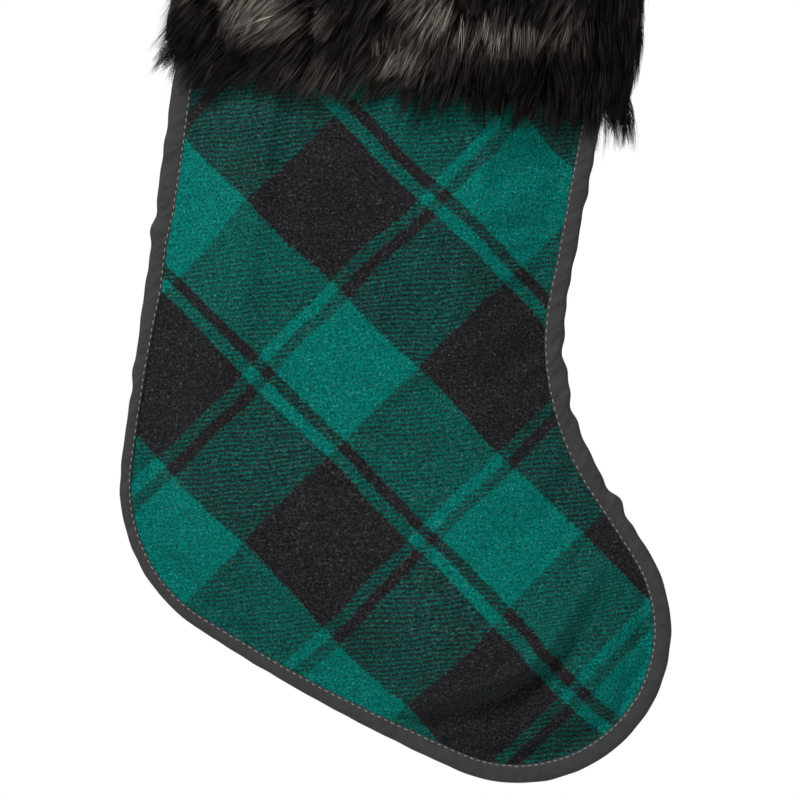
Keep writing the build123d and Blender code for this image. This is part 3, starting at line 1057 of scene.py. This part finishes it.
def strand_piece(name, points, shade, t):
    """Ribbons as one mesh. Its map has a strand's tone with its painted highlight across and root to tip
    along.
    """
    count, rings = points.shape[:2]
    base = (np.arange(count) * rings * 2)[:, None] + (np.arange(rings - 1) * 2)[None]
    quads = np.stack([base, base + 1, base + 3, base + 2], axis=-1).reshape(-1, 4)
    mesh = bpy.data.meshes.new(name)
    mesh.vertices.add(count * rings * 2)
    mesh.vertices.foreach_set("co", points.astype(np.float32).ravel())
    mesh.loops.add(quads.size)
    mesh.loops.foreach_set("vertex_index", quads.astype(np.int32).ravel())
    mesh.polygons.add(len(quads))
    mesh.polygons.foreach_set("loop_start", np.arange(0, quads.size, 4, dtype=np.int32))
    mesh.polygons.foreach_set("use_smooth", np.ones(len(quads), bool))
    mesh.update(calc_edges=True)
    across = np.repeat(shade, (rings - 1) * 4)
    root = np.tile(np.repeat(t[:-1], 4) + np.tile([0, 0, 1, 1], rings - 1) * (t[1] - t[0]), count)
    layer = mesh.uv_layers.new(name="OFBake")
    layer.data.foreach_set("uv", np.column_stack([across, root]).astype(np.float32).ravel())
    new_piece(name, mesh, pile)


SIDE_TAPE = 7                     # width of the tape that binds each of the cuff's side seams
SIDE_STACK = 2.3
SIDE_TAPE_LENGTH = 95
LOOP_DROP, LOOP_HEAD = 52, 10.6   # the loop's pivot below the hook, and its head's outer radius
LOOP_WIDTH, LOOP_PLY = 9, 1.5
TAIL_LENGTH = 26


def side_tape(name, edge, inward, node):
    """The bound edge of one of the cuff's side seams, straight down beside the leg."""
    along = np.linspace(0.5, SIDE_TAPE_LENGTH, 70)
    points = np.column_stack([np.full(70, edge), -along])
    normals = np.tile([inward, 0.0], (70, 1))
    widths = np.full(70, SIDE_TAPE - 0.2)
    ripple = 0.3 + 0.3 * wobble(along, (31, 19, 12), 14)
    bound_edge(name, points, normals, along, SIDE_STACK, (widths, widths), ripple, 0.4 * ripple, node)


def ribbon(name, line, faces_out, width, ply, material, body):
    """A flat woven tape along a line of places, its width along Y. Its edges are rounded selvedges."""
    half, thick = width / 2, ply / 2
    section = [(-half, 0), (-half + 0.25, -thick * 0.8), (-half + 0.8, -thick)]
    flat = np.linspace(-half + 1.6, half - 1.6, 7)
    section += [(y, -thick * (1 - 0.1 * math.cos(y * math.pi))) for y in flat]
    section += [(-y, z) for y, z in section[2:0:-1]] + [(half, 0)]
    section += [(y, -z) for y, z in section[-2:0:-1]]
    line, out = np.array(line, float), np.array(faces_out, float)
    y, z = np.array(section).T
    points = line[:, None] + (OUT * y[:, None])[None] * MM + out[:, None] * z[None, :, None] * MM
    faces = tube_faces(len(line), len(section))
    return new_piece(name, new_mesh(name, points.reshape(-1, 3), faces), material, body)


def loop_line():
    """The hanging loop's middle line and its outward directions.

    It runs up one side of the teardrop, round its head and down the other."""
    head = np.array([0, LOOP_PLY - LOOP_HEAD])
    foot = np.array([0.0, -LOOP_DROP - 1.2])
    radius, near = LOOP_HEAD - LOOP_PLY / 2, LOOP_PLY / 2
    lean = math.asin((radius - near) / np.linalg.norm(head - foot))
    arc = np.linspace(-lean, math.pi + lean, 40)
    top = head + radius * np.column_stack([np.cos(arc), np.sin(arc)])
    rise = np.linspace(0, 1, 26)[:-1, None]
    right = np.array([near * math.cos(lean), 0]) + foot
    side = right + (top[0] - right) * rise
    side[:, 0] += 0.5 * np.sin(math.pi * rise[:, 0]) * np.sin(2.4 * math.pi * rise[:, 0])
    left = side[::-1] * [-1, 1]
    line = np.vstack([side, top, left])
    heading = np.gradient(line, axis=0)
    heading /= np.linalg.norm(heading, axis=1, keepdims=True)
    outwards = np.column_stack([heading[:, 1], 0 * heading[:, 0], -heading[:, 0]])
    return np.column_stack([line[:, 0], 0 * line[:, 0], line[:, 1]]) * MM, outwards


def hanging_loop():
    line, outwards = loop_line()
    loop = ribbon("loop_tape", line, outwards, LOOP_WIDTH, LOOP_PLY, tape, None)
    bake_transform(loop)
    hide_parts("hanging_loop")
    drop = np.linspace(LOOP_RISE - LOOP_PLY - 0.4, LOOP_RISE - TAIL_LENGTH - 1, 24)
    for name, sign in (("loop_tail_heel", -1), ("loop_tail_toe", 1)):
        shift = sign * (LOOP_PLY / 2 + 0.04 + 0.12 * np.cos(drop / 3))
        tail = ribbon(name, place(LOOP_U + shift, drop, 0 * drop), np.tile(ACROSS * sign, (24, 1)),
                      LOOP_WIDTH, LOOP_PLY, tape, STOCKING)
        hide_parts("loop_tails")
    starts, ends, outs = [], [], []
    for bar in (14, 25):
        for sign in (-1, 1):
            for k, y in enumerate(np.arange(-4.2, 4.3, 0.42)):
                low, high = LOOP_RISE - bar - 1.4, LOOP_RISE - bar + 1.4
                u = LOOP_U + sign * (LOOP_PLY + 0.12)
                starts.append(place(u, low, y))
                ends.append(place(u, high, y + 0.4 * (-1) ** k))
                outs.append(ACROSS * sign)
    rows = map(np.array, (starts, ends, outs))
    tack = stitches("loop_tack_stitches", seam_thread, "seam_thread", *rows, 0.45 * MM)
    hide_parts("loop_tack")


def mouth_seam():
    """The seam that joins the cuff to the leg, just below the mouth and under the cuff."""
    u = np.arange(HEEL_SIDE + 15, TOE_SIDE - 15, 4.0)
    for side, name in ((FRONT, "mouth_seam_front"), (BACK, "mouth_seam_back")):
        start, end = (np.column_stack([u + d, np.full(len(u), -6.2)]) for d in (0, 2.8))
        starts, ends = (place(*p.T, side * (STACK + belly(p) + 0.35)) for p in (start, end))
        outwards = np.tile(OUT * float(side), (len(u), 1))
        seam = stitches(name, seam_thread, "seam_thread", starts, ends, outwards, 0.5 * MM)
        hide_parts("mouth_stitching")


side_tape("cuff_side_tape_heel", HEEL_SIDE - SIDE_TAPE, 1, "cuff_binding_heel")
side_tape("cuff_side_tape_toe", TOE_SIDE + SIDE_TAPE, -1, "cuff_binding_toe")
hanging_loop()
mouth_seam()
cuff_ground("cuff_backing_front", FRONT, "cuff_front")
cuff_ground("cuff_backing_back", BACK, "cuff_back")
fur(FRONT)
fur(BACK)


# ------------------------------------------------------------------ camera, floor and light
VIEW_WIDTH = 0.4                  # metres across the picture at the seam's plane
LENS, SENSOR = 270, 36
BOTTOM_MARGIN = 0.0085            # below the lowest point of the binding
SIDE_MARGIN = 0.0645              # from the picture's right edge to the toe's outermost point
FLOOR_DROP, FLOOR_RADIUS, FLOOR_SIDES = 0.12, 1.3, 96


def picture_centre():
    low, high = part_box("edge_binding")
    return high.x + SIDE_MARGIN - VIEW_WIDTH / 2, low.z - BOTTOM_MARGIN + VIEW_WIDTH / 2


def studio():
    scene = bpy.context.scene
    scene.view_settings.view_transform = "Standard"
    x, z = picture_centre()
    camera = bpy.data.objects.new("camera", bpy.data.cameras.new("camera"))
    camera.data.lens, camera.data.sensor_width = LENS, SENSOR
    camera.data.clip_end = 20
    camera.location = (x, -VIEW_WIDTH * LENS / SENSOR, z)
    camera.rotation_euler = (math.pi / 2, 0, 0)
    scene.collection.objects.link(camera)
    scene.camera = camera

    world = bpy.data.worlds.new("studio")
    world.use_nodes = True
    scene.world = world
    nodes, links = world.node_tree.nodes, world.node_tree.links
    seen, lit = nodes["Background"], nodes.new("ShaderNodeBackground")
    seen.inputs["Color"].default_value, seen.inputs["Strength"].default_value = (1, 1, 1, 1), 1.0
    lit.inputs["Color"].default_value, lit.inputs["Strength"].default_value = (1, 1, 1, 1), 0.22
    mix = nodes.new("ShaderNodeMixShader")
    links.new(nodes.new("ShaderNodeLightPath").outputs["Is Camera Ray"], mix.inputs[0])
    links.new(lit.outputs[0], mix.inputs[1])
    links.new(seen.outputs[0], mix.inputs[2])
    links.new(mix.outputs[0], nodes["World Output"].inputs["Surface"])

    for name, spot, size, power in (
        ("key", (-1.0, -1.7, 1.7), 0.9, 74),
        ("fill", (1.7, -1.9, -0.2), 1.4, 6),
        ("rim", (0.3, 1.9, 0.8), 1.3, 12),
    ):
        lamp = bpy.data.objects.new(name, bpy.data.lights.new(name, "AREA"))
        lamp.data.size, lamp.data.energy = size, power
        lamp.location = spot
        aim = Vector((x, 0, z)) - lamp.location
        lamp.rotation_euler = aim.to_track_quat("-Z", "Y").to_euler()
        scene.collection.objects.link(lamp)

    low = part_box("edge_binding")[0].z - FLOOR_DROP
    angles = np.linspace(0, 2 * math.pi, FLOOR_SIDES, endpoint=False)
    ring = [(x + FLOOR_RADIUS * math.cos(a), FLOOR_RADIUS * math.sin(a), low) for a in angles]
    mesh = bpy.data.meshes.new("floor")
    mesh.from_pydata(ring, [], [tuple(range(FLOOR_SIDES))])
    floor = bpy.data.objects.new("floor", mesh)
    scene.collection.objects.link(floor)
    s = Shader("floor", {"Roughness": 0.8})
    mesh.materials.append(s.finish(s.blend(s.noise(400, 1), rgb(232, 232, 231), rgb(240, 240, 239))))


studio()
